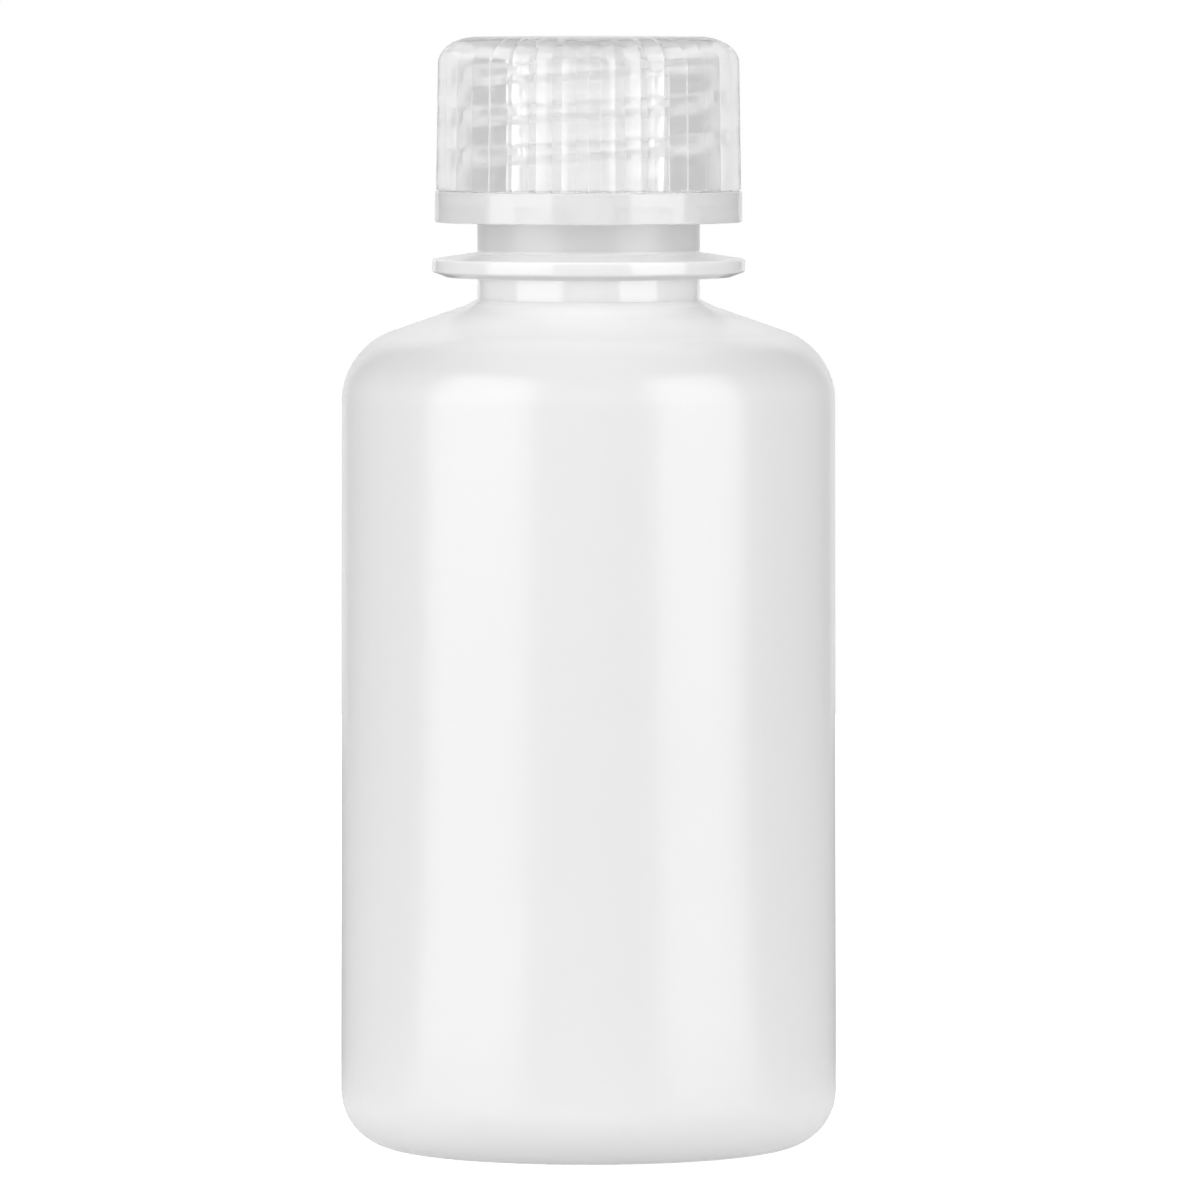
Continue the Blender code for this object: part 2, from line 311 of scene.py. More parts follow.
def studio_world():
    """White where it is looked at. The room is dim with a light overhead. Gloss also shows
    the white backdrop right behind the bottle, and clear plastic shows its wings too."""
    world = bpy.data.worlds.new("studio")
    world.use_nodes = True
    tree = world.node_tree
    tree.nodes.clear()
    axes = axes_of(tree, node_for(tree, "ShaderNodeTexCoord").outputs["Generated"])
    rays = node_for(tree, "ShaderNodeLightPath").outputs

    room = soft_step(tree, axes["Z"], OVERHEAD_START, (ROOM_GLOW, OVERHEAD_GLOW))
    below_head = soft_step(tree, axes["Z"], BACKDROP_HEAD, (1.0, 0.0))
    behind = soft_step(tree, axes["Y"], BACKDROP_START, (0.0, GLOSS_BACKDROP))
    aside = reckon(tree, "ABSOLUTE", axes["X"])
    right_behind = reckon(tree, "MULTIPLY", behind, soft_step(tree, aside, BACKDROP_SIDES, (1.0, 0.0)))
    wings = soft_step(tree, axes["Y"], WINGS_START, (CLEAR_SIDE, CLEAR_BACKDROP))

    gloss_sees = reckon(tree, "MULTIPLY", rays["Is Glossy Ray"], right_behind)
    clear_sees = reckon(tree, "MULTIPLY", rays["Is Transmission Ray"], wings)
    backdrop = reckon(tree, "MULTIPLY", reckon(tree, "MAXIMUM", gloss_sees, clear_sees), below_head)
    seen = reckon(tree, "MAXIMUM", rays["Is Camera Ray"], backdrop)
    glow = node_for(tree, "ShaderNodeBackground", Color=(1.0, 1.0, 1.0, 1.0))
    tree.links.new(reckon(tree, "MAXIMUM", room, seen), glow.inputs["Strength"])
    out = node_for(tree, "ShaderNodeOutputWorld")
    tree.links.new(glow.outputs[0], out.inputs["Surface"])
    return world


bpy.context.scene.world = studio_world()
print("world from", ROOM_GLOW, "to", OVERHEAD_GLOW)

# %% [markdown]
# ## How a turned piece is made
# Every piece here is round, so each starts as a flat section: corners joined into one face,
# with the corners that need it bevelled into arcs. The face is then thrown away and its
# outline is spun about the axis. The edge on the axis, and any edge that another shape
# takes over, is left out of the spin. A last helper shades the piece smooth, ties it to the
# body that it moves with and hides the solid that it takes the place of.

# %% Draw a section with rounded corners and spin it
STEPS = 216
ARC_PIECE = math.radians(7.5)
FEWEST_ARC_PIECES = 3
ROUND_PROFILE = 0.5
MERGE_DISTANCE = 0.001 * MM
ON_AXIS = 0.0005 * MM


def add_section(bm, corners):
    """One face from (radius, height) or (radius, height, rounding) corners; gives its edges."""
    verts = [bm.verts.new((corner[0], 0.0, corner[1])) for corner in corners]
    face = bm.faces.new(verts)
    before = [verts[index - 1].co.copy() for index in range(len(verts))]
    after = [verts[(index + 1) % len(verts)].co.copy() for index in range(len(verts))]
    for vert, corner, last, following in zip(verts, corners, before, after):
        if len(corner) < 3:
            continue
        half = (last - vert.co).angle(following - vert.co) / 2
        bmesh.ops.bevel(
            bm,
            geom=[vert],
            affect="VERTICES",
            offset=corner[2] / math.tan(half),
            segments=max(FEWEST_ARC_PIECES, round((math.pi - 2 * half) / ARC_PIECE)),
            profile=ROUND_PROFILE,
            material=-1,
        )
    if not face.is_valid:
        face = bm.faces[:][-1]
    edges = list(face.edges)
    bmesh.ops.delete(bm, geom=[face], context="FACES_ONLY")
    return edges


def spin_edges(bm, edges, climb=0.0):
    """Spin edges a full turn about the axis, and up by the climb if there is one."""
    verts = list(dict.fromkeys(vert for edge in edges for vert in edge.verts))
    bmesh.ops.spin(
        bm,
        geom=verts + edges,
        cent=(0.0, 0.0, 0.0),
        axis=(0.0, 0.0, 1.0),
        dvec=(0.0, 0.0, climb / STEPS),
        angle=math.tau,
        steps=STEPS,
        use_merge=not climb,
    )
    bmesh.ops.remove_doubles(bm, verts=bm.verts, dist=MERGE_DISTANCE)


def add_turned(bm, corners, gaps=()):
    """Spin a section. Each gap names two corners whose edge another shape takes over."""
    edges = add_section(bm, corners)
    left_out = [edge for edge in edges if all(vert.co.x < ON_AXIS for vert in edge.verts)]
    for pair in gaps:
        spots = [Vector((radius, 0.0, height)) for radius, height in pair]
        for edge in edges:
            ends = [vert.co for vert in edge.verts]
            if all(min((end - spot).length for spot in spots) < MERGE_DISTANCE for end in ends):
                left_out.append(edge)
    kept = [edge for edge in edges if edge not in left_out]
    bmesh.ops.delete(bm, geom=left_out, context="EDGES")
    spin_edges(bm, kept)


print("a turned piece has", STEPS, "steps around")


# %% Finish a piece
SHARP_ANGLE = 30.0


def finished(bm, name, material, body, node, sharp=SHARP_ANGLE):
    """A smooth-shaded piece that rides on its body and hides the solid it takes the place of."""
    open_edges = [edge for edge in bm.edges if not edge.is_manifold]
    bmesh.ops.recalc_face_normals(bm, faces=bm.faces)
    mesh = bpy.data.meshes.new(name)
    bm.to_mesh(mesh)
    bm.free()
    mesh.shade_smooth()
    mesh.set_sharp_from_angle(angle=math.radians(sharp))
    mesh.materials.append(material)
    piece = bpy.data.objects.new(name, mesh)
    bpy.context.scene.collection.objects.link(piece)
    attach(piece, body)
    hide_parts(node)
    mesh.calc_loop_triangles()
    print(name, "has", len(mesh.loop_triangles), "triangles and", len(open_edges), "open edges")
    return piece


print("edges sharper than", SHARP_ANGLE, "degrees stay sharp")


# %% [markdown]
# ## How the screw threads are made
# A thread is one ridge that climbs by its pitch each turn. A stack of ridge sections, one a
# pitch apart, is spun a full turn while it climbs one pitch, so each ridge ends where the
# next one starts. Points past the two ends of the threaded wall are pushed back to the wall
# at those ends, which leaves two level rings that the rest of the piece joins. A ridge grows
# out of the wall at one end and runs back into it at the other. Its bearing flank is almost
# level and its other flank slopes, because a cap only ever pulls one way.

# %% Wind a threaded wall
PITCH = 3.175 * MM
RIDGE_FOOT = 1.62 * MM
RIDGE_DEPTH = 0.98 * MM
BEARING_FLANK = 0.18 * MM
SLOPING_FLANK = 0.76 * MM
RIDGE_ROUND = 0.08 * MM
RUN_OUT = 0.30 * MM

# How many more ridges the stack has below the wall, and how many ridge depths its back is off
SPARE_TURNS = 2
BACK_DEPTHS = 4


def smooth_share(value):
    """Goes softly from 0 to 1 and stays there on both sides."""
    value = min(1.0, max(0.0, value))
    return value * value * (3 - 2 * value)


def ridge_stack(wall, depth, lowest, count):
    """The section of a stack of ridges, with a back that is cut away before the spin. An
    outer ridge bears on its lower flank and an inner one on its upper flank."""
    lower, upper = (BEARING_FLANK, SLOPING_FLANK) if depth > 0 else (SLOPING_FLANK, BEARING_FLANK)
    back = wall - BACK_DEPTHS * depth
    corners = [(back, lowest - PITCH / 2), (wall, lowest - PITCH / 2)]
    for index in range(count):
        middle = lowest + index * PITCH
        corners += [
            (wall, middle - RIDGE_FOOT / 2, RIDGE_ROUND),
            (wall + depth, middle - RIDGE_FOOT / 2 + lower, RIDGE_ROUND),
            (wall + depth, middle + RIDGE_FOOT / 2 - upper, RIDGE_ROUND),
            (wall, middle + RIDGE_FOOT / 2, RIDGE_ROUND),
        ]
    top = lowest + (count - 0.5) * PITCH
    return corners + [(wall, top), (back, top)]


def add_thread(bm, wall, depth, low, high, start, first, last):
    """A threaded wall from low to high. The ridge passes the height start at +X, its middle
    runs from first to last, and it stands off the wall by depth, outwards if positive."""
    lowest = start - PITCH * math.ceil((start - low) / PITCH + SPARE_TURNS)
    count = math.ceil((high - lowest) / PITCH) + 1
    corners = ridge_stack(wall, depth, lowest, count)
    back = corners[0][0]
    part = bmesh.new()
    edges = add_section(part, corners)
    spare = [edge for edge in edges
             if any(abs(vert.co.x - back) < MERGE_DISTANCE for vert in edge.verts)]
    kept = [edge for edge in edges if edge not in spare]
    bmesh.ops.delete(part, geom=spare, context="EDGES")
    spin_edges(part, kept, climb=PITCH)
    for vert in part.verts:
        radius = vert.co.xy.length
        climbed = PITCH * (math.atan2(vert.co.y, vert.co.x) / math.tau)
        turn = round((vert.co.z - climbed - lowest) / PITCH)
        middle = lowest + turn * PITCH + climbed
        grown = smooth_share((middle - first) / RUN_OUT) * smooth_share((last - middle) / RUN_OUT)
        if not low < vert.co.z < high:
            grown = 0.0
        vert.co.xy *= (wall + (radius - wall) * grown) / radius
        vert.co.z = min(high, max(low, vert.co.z))
    bmesh.ops.remove_doubles(part, verts=part.verts, dist=MERGE_DISTANCE)
    bmesh.ops.dissolve_degenerate(part, edges=part.edges, dist=MERGE_DISTANCE)
    mesh = bpy.data.meshes.new("thread")
    part.to_mesh(mesh)
    part.free()
    bm.from_mesh(mesh)
    bpy.data.meshes.remove(mesh)
    bmesh.ops.remove_doubles(bm, verts=bm.verts, dist=MERGE_DISTANCE)
    turns = (min(last, high) - first) / PITCH
    print("thread of", round(turns, 1), "turns on a wall", round(wall / MM, 2), "mm in radius")


# %% [markdown]
# ## The bottle's plastic
# Natural polyethylene is milky: light goes a little way into it before it comes back out. Its
# tone along the height carries painted light and shade: painted light on the neck's foot and the
# top of the flange, painted shade on the blown corner of the shoulder, the chamfer under the
# flange and the neck above the flange. The blown wall is satin, with a faint orange peel. The foot of the
# neck
# and the flange are shaped by polished steel, so they are smoother and shine more. The tone
# and the roughness follow the height on the bottle, each along a curve.

# %% Set the painted light and shade and the roughness along the height
MILK_COLOUR = 0.83
# Tones below the milk colour are painted shade, tones above it are painted light
SHOULDER_PAINTED_SHADE = 0.78
FOOT_EDGE_PAINTED_LIGHT = 0.88
FOOT_PAINTED_LIGHT = 0.94
CHAMFER_PAINTED_SHADE = 0.62
FLANGE_TOP_PAINTED_LIGHT = 0.98
NECK_PAINTED_SHADE = 0.67

# Heights and tones with painted light and shade, from the body over shoulder and flange to the neck
TONES_WITH_PAINTED_LIGHT = (
    (60.0 * MM, MILK_COLOUR),
    (62.0 * MM, SHOULDER_PAINTED_SHADE),
    (63.2 * MM, SHOULDER_PAINTED_SHADE),
    (64.6 * MM, FOOT_EDGE_PAINTED_LIGHT),
    (65.6 * MM, FOOT_PAINTED_LIGHT),
    (66.4 * MM, FOOT_PAINTED_LIGHT),
    (67.0 * MM, MILK_COLOUR),
    (68.84 * MM, MILK_COLOUR),
    (68.88 * MM, CHAMFER_PAINTED_SHADE),
    (69.22 * MM, CHAMFER_PAINTED_SHADE),
    (69.30 * MM, MILK_COLOUR),
    (70.25 * MM, MILK_COLOUR),
    (70.32 * MM, FLANGE_TOP_PAINTED_LIGHT),
    (70.78 * MM, FLANGE_TOP_PAINTED_LIGHT),
    (70.86 * MM, NECK_PAINTED_SHADE),
    (73.30 * MM, NECK_PAINTED_SHADE),
    (73.80 * MM, MILK_COLOUR),
)

# The same for the roughness
WALL_ROUGHNESS = 0.24
FLANGE_ROUGHNESS = 0.10
NECK_ROUGHNESS = 0.32
ROUGHNESSES = (
    (65.8 * MM, WALL_ROUGHNESS),
    (66.2 * MM, FLANGE_ROUGHNESS),
    (70.4 * MM, FLANGE_ROUGHNESS),
    (70.8 * MM, NECK_ROUGHNESS),
)


def by_height(tree, place, spots):
    """A value that follows the height through the given (height, value) spots."""
    along = reckon(tree, "DIVIDE", axes_of(tree, place)["Z"], NECK_RIM)
    value = node_for(tree, "ShaderNodeFloatCurve")
    curve = value.mapping.curves[0]
    curve.points[0].location = (0.0, spots[0][1])
    curve.points[1].location = (1.0, spots[-1][1])
    for spot, level in spots:
        curve.points.new(spot / NECK_RIM, level)
    for knot in curve.points:
        knot.handle_type = "VECTOR"
    value.mapping.update()
    tree.links.new(along, value.inputs["Value"])
    return value.outputs["Value"]


print(len(TONES_WITH_PAINTED_LIGHT), "tones and", len(ROUGHNESSES), "roughnesses up to", round(NECK_RIM / MM, 2), "mm")


# %% Mix the milky plastic
MILK_INDEX = 1.52
MILK_DEPTH = 0.8 * MM
MILK_PASS = 0.9
PEEL_SCALE = 700.0
PEEL_DETAIL = 2.0
PEEL_DEPTH = 0.02 * MM
PEEL_STRENGTH = 0.6


def let_light_in(tree, shader, share):
    """Lamps shine through the plastic on what is behind it. Only shadow rays pass."""
    rays = node_for(tree, "ShaderNodeLightPath").outputs
    open_way = node_for(tree, "ShaderNodeBsdfTransparent", Color=(share, share, share, 1.0))
    both = node_for(tree, "ShaderNodeMixShader")
    tree.links.new(rays["Is Shadow Ray"], both.inputs[0])
    tree.links.new(shader.outputs[0], both.inputs[1])
    tree.links.new(open_way.outputs[0], both.inputs[2])
    tree.links.new(both.outputs[0], tree.nodes["Material Output"].inputs["Surface"])


def milky_plastic():
    """Milky polyethylene; painted light and shade and roughness by height; a faint orange peel."""
    material, tree = new_material("milky_polyethylene")
    shader = tree.nodes["Principled BSDF"]
    shader.inputs["IOR"].default_value = MILK_INDEX
    shader.inputs["Subsurface Weight"].default_value = 1.0
    shader.inputs["Subsurface Radius"].default_value = (1.0, 1.0, 1.0)
    shader.inputs["Subsurface Scale"].default_value = MILK_DEPTH
    place = node_for(tree, "ShaderNodeTexCoord").outputs["Object"]
    peel = node_for(tree, "ShaderNodeTexNoise", Scale=PEEL_SCALE, Detail=PEEL_DETAIL)
    tree.links.new(place, peel.inputs["Vector"])
    bump = node_for(tree, "ShaderNodeBump", Strength=PEEL_STRENGTH, Distance=PEEL_DEPTH)
    tree.links.new(peel.outputs["Fac"], bump.inputs["Height"])
    tree.links.new(bump.outputs["Normal"], shader.inputs["Normal"])
    # The base colour carries the painted light and shade along the height
    tree.links.new(by_height(tree, place, TONES_WITH_PAINTED_LIGHT), shader.inputs["Base Color"])
    tree.links.new(by_height(tree, place, ROUGHNESSES), shader.inputs["Roughness"])
    let_light_in(tree, shader, MILK_PASS)
    return material


milk = milky_plastic()
print(milk.name, "has", len(milk.node_tree.nodes), "nodes")

# %% [markdown]
# ## The bottle
# The bottle is one blown piece. Its section runs up the inside, over the rim and down the
# outside past the thread, the bead that holds the band, the support flange and the shoulder.
# The sizes go from the body up to the neck. What sits by the band or the rim takes its height
# from the solids.

# %% Set the sizes of the body and the shoulder
BODY_RADIUS = 19.6 * MM
BODY_DRAFT = 0.12 * MM
WALL = 1.2 * MM
BASE_ROUND = 4.5 * MM
STANDING_RING = 2.2 * MM
HOLLOW_DEPTH = 1.2 * MM
HOLLOW_ROUND = 14 * MM
HOLLOW_EDGE_ROUND = 4 * MM

SHOULDER_HEIGHT = 63.18 * MM
SHOULDER_ROUND = 5.5 * MM
SHOULDER_SLOPE = math.radians(19.4)
ROOT_WIDTH = 0.8 * MM
ROOT_ROUND = 3.0 * MM
INSIDE_ROOT_ROUND = 1.5 * MM

hollow_radius = BODY_RADIUS - BASE_ROUND - STANDING_RING
inner_drop = WALL / math.cos(SHOULDER_SLOPE)
print("standing ring", round(2 * hollow_radius / MM, 1), "mm across inside")

# %% Set the sizes of the neck and its flange
NECK_RADIUS = 8.78 * MM
NECK_WALL = 1.55 * MM
NECK_ROUND = 0.1 * MM
NECK_FOOT = 1.79 * MM
NECK_LEDGE = 0.12 * MM
LEDGE_ROUND = 0.04 * MM
RIM_ROUND = 0.3 * MM

FLANGE_RADIUS = 12.36 * MM
FLANGE_RIM = 1.0 * MM
FLANGE_TOP_RISE = 0.52 * MM
FLANGE_UNDER_RISE = 0.42 * MM
FLANGE_CHAMFER = 1.1 * MM
FLANGE_ROUND = 0.2 * MM
FLANGE_ROOT_ROUND = 0.12 * MM

BAND_DROP_ROOM = 2.4 * MM
PAWL_HEIGHT = 1.0 * MM
BEAD_GAP = 0.3 * MM
BEAD_DEPTH = 1.1 * MM
BEAD_HEIGHT = 0.8 * MM
BEAD_ROUND = 0.1 * MM
BEAD_EDGE = 0.06 * MM

THREAD_OVER_BEAD = 0.25 * MM
THREAD_UNDER_RIM = 0.35 * MM
THREAD_START = 81.30 * MM
THREAD_PLAY = 0.2 * MM
NECK_RIDGE_FIRST = 77.2 * MM
NECK_RIDGE_LAST = 84.5 * MM

flange_top = BAND_BOTTOM - BAND_DROP_ROOM
flange_rim_top = flange_top - FLANGE_TOP_RISE
flange_rim_low = flange_rim_top - FLANGE_RIM
flange_under = flange_rim_low - FLANGE_UNDER_RISE
neck_base = flange_under - NECK_FOOT
bead_low = BAND_BOTTOM + PAWL_HEIGHT + BEAD_GAP
bead_top = bead_low + BEAD_HEIGHT
thread_low = bead_top + THREAD_OVER_BEAD
thread_high = NECK_RIM - THREAD_UNDER_RIM
root_radius = NECK_RADIUS + NECK_LEDGE + ROOT_WIDTH
bore_radius = NECK_RADIUS - NECK_WALL
print("flange from", round(flange_under / MM, 2), "to", round(flange_top / MM, 2), "mm")
print("thread from", round(thread_low / MM, 2), "to", round(thread_high / MM, 2), "mm")


# %% Turn the bottle
def shoulder_line(radius):
    """Height of the shoulder's cone at a radius, before its ends are rounded."""
    return SHOULDER_HEIGHT + (BODY_RADIUS - BODY_DRAFT - radius) * math.tan(SHOULDER_SLOPE)


def inside_corners():
    """The inside, from the middle of the base up to the rim."""
    inner = BODY_RADIUS - WALL
    top = inner - BODY_DRAFT
    return [
        (0.0, WALL + HOLLOW_DEPTH),
        (hollow_radius / 2, WALL + HOLLOW_DEPTH, HOLLOW_ROUND),
        (hollow_radius, WALL, HOLLOW_EDGE_ROUND),
        (inner, WALL, BASE_ROUND - WALL),
        (top, shoulder_line(top) - inner_drop, SHOULDER_ROUND - WALL),
        (bore_radius, shoulder_line(bore_radius) - inner_drop, INSIDE_ROOT_ROUND),
        (bore_radius, NECK_RIM, RIM_ROUND),
    ]


def outside_corners():
    """The outside, from the rim down to the middle of the base."""
    return [
        (NECK_RADIUS, NECK_RIM, RIM_ROUND),
        (NECK_RADIUS, thread_high),
        (NECK_RADIUS, thread_low),
        (NECK_RADIUS, bead_top, BEAD_ROUND),
        (NECK_RADIUS + BEAD_DEPTH, bead_low + BEAD_HEIGHT / 3, BEAD_ROUND),
        (NECK_RADIUS + BEAD_DEPTH, bead_low, BEAD_EDGE),
        (NECK_RADIUS, bead_low, BEAD_EDGE),
        (NECK_RADIUS, flange_top, NECK_ROUND),
        (FLANGE_RADIUS, flange_rim_top, FLANGE_ROUND),
        (FLANGE_RADIUS, flange_rim_low, FLANGE_ROUND),
        (FLANGE_RADIUS - FLANGE_CHAMFER, flange_under, FLANGE_ROUND),
        (NECK_RADIUS, flange_under, FLANGE_ROOT_ROUND),
        (NECK_RADIUS, neck_base, LEDGE_ROUND),
        (NECK_RADIUS + NECK_LEDGE, neck_base, LEDGE_ROUND),
        (root_radius, shoulder_line(root_radius), ROOT_ROUND),
        (BODY_RADIUS - BODY_DRAFT, SHOULDER_HEIGHT, SHOULDER_ROUND),
        (BODY_RADIUS, 0.0, BASE_ROUND),
        (hollow_radius, 0.0, HOLLOW_EDGE_ROUND),
        (hollow_radius / 2, HOLLOW_DEPTH, HOLLOW_ROUND),
        (0.0, HOLLOW_DEPTH),
    ]


bm = bmesh.new()
threaded = ((NECK_RADIUS, thread_high), (NECK_RADIUS, thread_low))
add_turned(bm, inside_corners() + outside_corners(), gaps=[threaded])
add_thread(
    bm,
    wall=NECK_RADIUS,
    depth=RIDGE_DEPTH,
    low=thread_low,
    high=thread_high,
    start=THREAD_START - THREAD_PLAY,
    first=NECK_RIDGE_FIRST,
    last=NECK_RIDGE_LAST,
)
finished(bm, "bottle", milk, "bottle", "bottle_body")

# %% [markdown]
# ## The cap's plastic
# The cap and the band are moulded in natural polypropylene, and the disc in a softer plastic.
# All are clear with a haze, so the thread and the neck show through them. The haze grows with
# the thickness: the ridge of the thread is cloudier than the wall, and the band is almost
# white.

# %% Mix the clear plastic
CLEAR_COLOUR = 0.90
CLEAR_INDEX = 1.49
CLEAR_PASS = 0.75
CAP_HAZE = 0.30
CAP_ROUGHNESS = 0.05
RIDGE_HAZE = 0.48
RIDGE_ROUGHNESS = 0.10
SKIN_SCALE = 500.0
SKIN_DETAIL = 2.0
ROUGHNESS_SPREAD = 0.02


def clear_plastic(name, haze, roughness, colour=CLEAR_COLOUR):
    """Clear plastic with a share of haze and a roughness that varies a little."""
    material, tree = new_material(name)
    shader = tree.nodes["Principled BSDF"]
    shader.inputs["Base Color"].default_value = (colour, colour, colour, 1.0)
    shader.inputs["Transmission Weight"].default_value = 1.0 - haze
    shader.inputs["IOR"].default_value = CLEAR_INDEX
    place = node_for(tree, "ShaderNodeTexCoord").outputs["Object"]
    skin = node_for(tree, "ShaderNodeTexNoise", Scale=SKIN_SCALE, Detail=SKIN_DETAIL)
    tree.links.new(place, skin.inputs["Vector"])
    spread = node_for(tree, "ShaderNodeMapRange")
    spread.inputs["To Min"].default_value = roughness - ROUGHNESS_SPREAD
    spread.inputs["To Max"].default_value = roughness + ROUGHNESS_SPREAD
    tree.links.new(skin.outputs["Fac"], spread.inputs["Value"])
    tree.links.new(spread.outputs["Result"], shader.inputs["Roughness"])
    let_light_in(tree, shader, CLEAR_PASS)
    return material


clear_wall = clear_plastic("clear_polypropylene", CAP_HAZE, CAP_ROUGHNESS)
cloudy_ridge = clear_plastic("cloudy_polypropylene", RIDGE_HAZE, RIDGE_ROUGHNESS)
print("cap in", clear_wall.name, "and", cloudy_ridge.name)

# %% [markdown]
# ## The outside of the cap
# Thirty-six pointed ribs give the grip. They run up the side and over the rounded edge to
# the flat top, so the top is a flat star. The outline is a circle of 72 corners with every
# second corner drawn in. It is extruded up the side in one step and over the edge in many.
# In each step over the edge all flanks move in by the same distance, so the points and the
# valleys move in a little more, as the mitred corners of a picture frame do. At last the
# lines of the ribs are bevelled, because no mould is cut with a knife.

# %% Draw the star and find how its corners move
RIB_COUNT = 36
RIB_DEPTH = 1.0 * MM

valley_radius = CAP_RADIUS - RIB_DEPTH
half_rib = math.pi / RIB_COUNT
point = Vector((CAP_RADIUS, 0.0))
dip = Vector((valley_radius * math.cos(half_rib), valley_radius * math.sin(half_rib)))
point_mitre = 1 / math.sin((point - dip).angle(point))
dip_mitre = 1 / math.sin((dip - point).angle(dip))
print("for each step of a flank a point moves", round(point_mitre, 3), "and a valley", round(dip_mitre, 3))

# %% Raise the ribs ring by ring
CAP_ROUND = 2.1 * MM
CAP_DRAFT = 0.1 * MM
EDGE_STEPS = 16
RIB_EDGE = 0.045 * MM
RIB_EDGE_PIECES = 2


def on_point(vert):
    """Whether a corner is the point of a rib and not the bottom of a valley."""
    return round(math.atan2(vert.co.y, vert.co.x) * RIB_COUNT / math.pi) % 2 == 0


def raise_ring(bm, ring, height, inset):
    """Extrude a ring of edges to a height, with its flanks moved in; gives the new ring."""
    grown = bmesh.ops.extrude_edge_only(bm, edges=ring)["geom"]
    verts = [item for item in grown if isinstance(item, bmesh.types.BMVert)]
    bmesh.ops.translate(bm, vec=(0.0, 0.0, height - verts[0].co.z), verts=verts)
    corner_kinds = ((True, CAP_RADIUS, point_mitre), (False, valley_radius, dip_mitre))
    for kind, radius, mitre in corner_kinds:
        some = [vert for vert in verts if on_point(vert) == kind]
        share = (radius - inset * mitre) / some[0].co.xy.length
        bmesh.ops.scale(bm, vec=(share, share, 1.0), verts=some)
    return [item for item in grown if isinstance(item, bmesh.types.BMEdge)
            and all(vert in verts for vert in item.verts)]


bm = bmesh.new()
bmesh.ops.create_circle(bm, segments=2 * RIB_COUNT, radius=CAP_RADIUS)
bmesh.ops.translate(bm, vec=(0.0, 0.0, CAP_BOTTOM), verts=bm.verts)
drawn_in = valley_radius / CAP_RADIUS
valleys = [vert for vert in bm.verts if not on_point(vert)]
bmesh.ops.scale(bm, vec=(drawn_in, drawn_in, 1.0), verts=valleys)
ring = raise_ring(bm, bm.edges[:], CAP_TOP - CAP_ROUND, CAP_DRAFT)
for step in range(1, EDGE_STEPS + 1):
    turn = math.pi / 2 * step / EDGE_STEPS
    ring = raise_ring(bm, ring, CAP_TOP - CAP_ROUND * (1 - math.sin(turn)),
                      CAP_DRAFT + CAP_ROUND * (1 - math.cos(turn)))
bmesh.ops.edgeloop_fill(bm, edges=ring)
rib_lines = [edge for edge in bm.edges
             if abs(edge.verts[0].co.z - edge.verts[1].co.z) > MERGE_DISTANCE]
bmesh.ops.bevel(
    bm,
    geom=rib_lines,
    affect="EDGES",
    offset=RIB_EDGE,
    segments=RIB_EDGE_PIECES,
    profile=ROUND_PROFILE,
    material=-1,
)
flat_top = max(bm.faces, key=lambda face: face.calc_area())
for edge in flat_top.edges:
    edge.smooth = False
ribbed = bpy.data.meshes.new("ribbed")
bm.to_mesh(ribbed)
bm.free()
print("ribbed outside has", len(ribbed.polygons), "faces")

# %% [markdown]
# ## The inside of the cap
# The bore carries the ridge that runs in the neck's thread. It is turned and wound like the
# neck, then set inside the ribbed dome, and the flat mouth between the two is filled. Faces
# on the ridge take the cloudier plastic. The ridge's last height is above its wall, so it
# runs on to the wall's upper end.

# %% Turn the inside and join it to the outside
CAP_WALL = 0.93 * MM
CAP_PANEL = 0.9 * MM
CAP_LEAD_IN = 0.15 * MM
PANEL_ROUND = 0.2 * MM
THREAD_UNDER_DISC = 0.1 * MM
CAP_RIDGE_FIRST = 77.3 * MM
CAP_RIDGE_LAST = 88.0 * MM
RIDGE_START_SHARE = 0.25
CAP_SHARP_ANGLE = 14.0
CLOUDY_SLOT = 1

cap_bore = CAP_RADIUS - RIB_DEPTH - CAP_WALL
cap_thread_low = CAP_BOTTOM + CAP_LEAD_IN
cap_thread_high = disc_low.z - THREAD_UNDER_DISC

bm = bmesh.new()
add_turned(bm, [
    (0.0, CAP_TOP - CAP_PANEL),
    (cap_bore, CAP_TOP - CAP_PANEL, PANEL_ROUND),
    (cap_bore, cap_thread_high),
    (cap_bore, cap_thread_low),
    (cap_bore + CAP_LEAD_IN, CAP_BOTTOM),
    (0.0, CAP_BOTTOM),
], gaps=[
    ((cap_bore, cap_thread_high), (cap_bore, cap_thread_low)),
    ((cap_bore + CAP_LEAD_IN, CAP_BOTTOM), (0.0, CAP_BOTTOM)),
])
add_thread(
    bm,
    wall=cap_bore,
    depth=-RIDGE_DEPTH,
    low=cap_thread_low,
    high=cap_thread_high,
    start=THREAD_START + PITCH / 2,
    first=CAP_RIDGE_FIRST,
    last=CAP_RIDGE_LAST,
)
bm.from_mesh(ribbed)
bpy.data.meshes.remove(ribbed)
mouth = [edge for edge in bm.edges if edge.is_boundary]
bmesh.ops.triangle_fill(bm, use_beauty=True, edges=mouth)
for face in bm.faces:
    near = min(vert.co.xy.length for vert in face.verts)
    spot = face.calc_center_median().z
    on_ridge = near < cap_bore - RIDGE_DEPTH * RIDGE_START_SHARE
    if on_ridge and cap_thread_low < spot < cap_thread_high:
        face.material_index = CLOUDY_SLOT
cap = finished(bm, "cap", clear_wall, "cap", "cap_shell", sharp=CAP_SHARP_ANGLE)
cap.data.materials.append(cloudy_ridge)

# %% [markdown]
# ## The sealing disc
# A thin soft disc lies in the top of the cap and meets the rim of the neck.

# %% Turn the disc
DISC_ROUND = 0.15 * MM
DISC_HAZE = 0.48
DISC_ROUGHNESS = 0.10

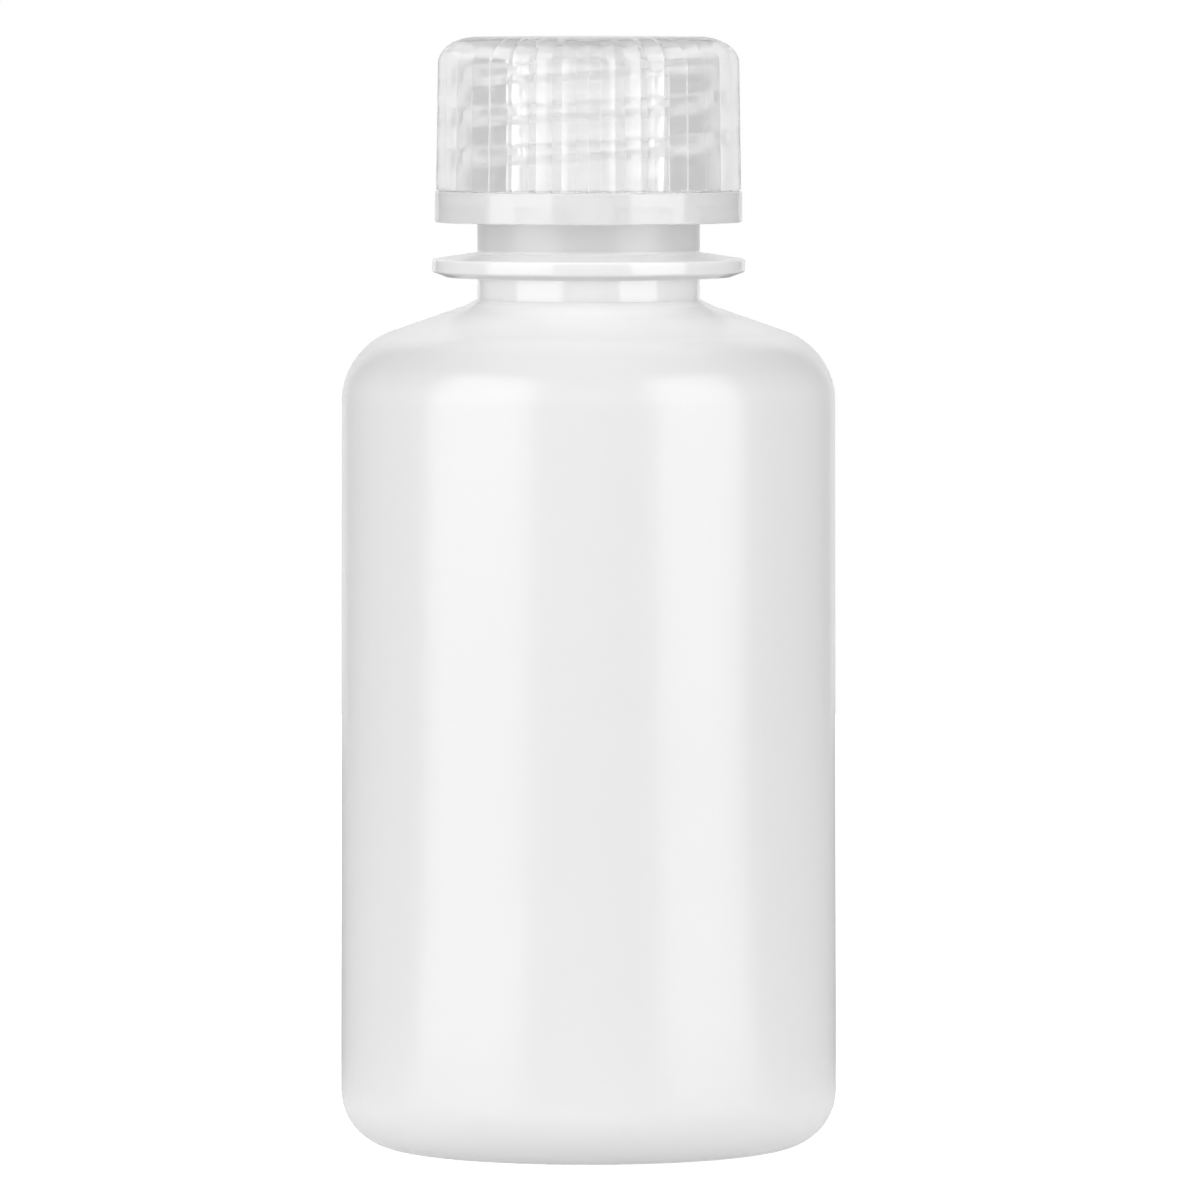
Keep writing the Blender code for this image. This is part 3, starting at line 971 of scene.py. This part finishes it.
bm = bmesh.new()
add_turned(bm, [
    (0.0, disc_high.z),
    (DISC_RADIUS, disc_high.z, DISC_ROUND),
    (DISC_RADIUS, disc_low.z, DISC_ROUND),
    (0.0, disc_low.z),
])
soft_plastic = clear_plastic("soft_polyethylene", DISC_HAZE, DISC_ROUGHNESS)
finished(bm, "disc", soft_plastic, "seal", "seal_disc")

# %% [markdown]
# ## The break-away band
# The band is smooth outside. Inside, nine pawls lean in under the bead of the neck, so the
# band stays behind when the cap is unscrewed. Thin bridges tie it to the cap until then. The
# pawls are turned as one ring, and between them that ring is pushed back to the wall.

# %% Turn the band, part its pawls and add its bridges
BAND_HEIGHT = 2.45 * MM
BAND_WALL = 0.9 * MM
BAND_EDGE = 0.12 * MM
PAWL_COUNT = 9
PAWL_SHARE = 0.62
PAWL_CATCH = 0.5 * MM
PAWL_TIP = 0.4 * MM
BRIDGE_COUNT = 12
BRIDGE_TURN_SHARE = 0.25
BRIDGE_WIDTH = 0.6 * MM
BRIDGE_HEIGHT = 0.5 * MM
BRIDGE_GAP = 0.05 * MM
BAND_HAZE = 0.7
BAND_ROUGHNESS = 0.13
BAND_COLOUR = 0.84

band_top = BAND_BOTTOM + BAND_HEIGHT
band_bore = BAND_RADIUS - BAND_WALL
pawl_radius = NECK_RADIUS + BEAD_DEPTH - PAWL_CATCH
bridge_height = CAP_BOTTOM - BRIDGE_GAP - BRIDGE_HEIGHT / 2

bm = bmesh.new()
add_turned(bm, [
    (BAND_RADIUS, band_top, BAND_EDGE),
    (BAND_RADIUS, BAND_BOTTOM, BAND_EDGE),
    (band_bore, BAND_BOTTOM),
    (pawl_radius, BAND_BOTTOM + PAWL_HEIGHT - PAWL_TIP),
    (pawl_radius, BAND_BOTTOM + PAWL_HEIGHT),
    (band_bore, BAND_BOTTOM + PAWL_HEIGHT + PAWL_TIP),
    (band_bore, band_top),
])
for vert in bm.verts:
    radius = vert.co.xy.length
    share = (math.atan2(vert.co.y, vert.co.x) / math.tau * PAWL_COUNT) % 1
    if share > PAWL_SHARE and radius < band_bore - MERGE_DISTANCE:
        vert.co.xy *= band_bore / radius
for index in range(BRIDGE_COUNT):
    turn = Matrix.Rotation(math.tau * (index + BRIDGE_TURN_SHARE) / BRIDGE_COUNT, 4, "Z")
    spot = Matrix.Translation((BAND_RADIUS - BAND_WALL / 2, 0.0, bridge_height))
    shape = Matrix.Diagonal((BAND_WALL / 2, BRIDGE_WIDTH, BRIDGE_HEIGHT, 1.0))
    bmesh.ops.create_cube(bm, size=1.0, matrix=turn @ spot @ shape)
white_plastic = clear_plastic("white_polypropylene", BAND_HAZE, BAND_ROUGHNESS, BAND_COLOUR)
finished(bm, "band", white_plastic, "band", "tamper_band")
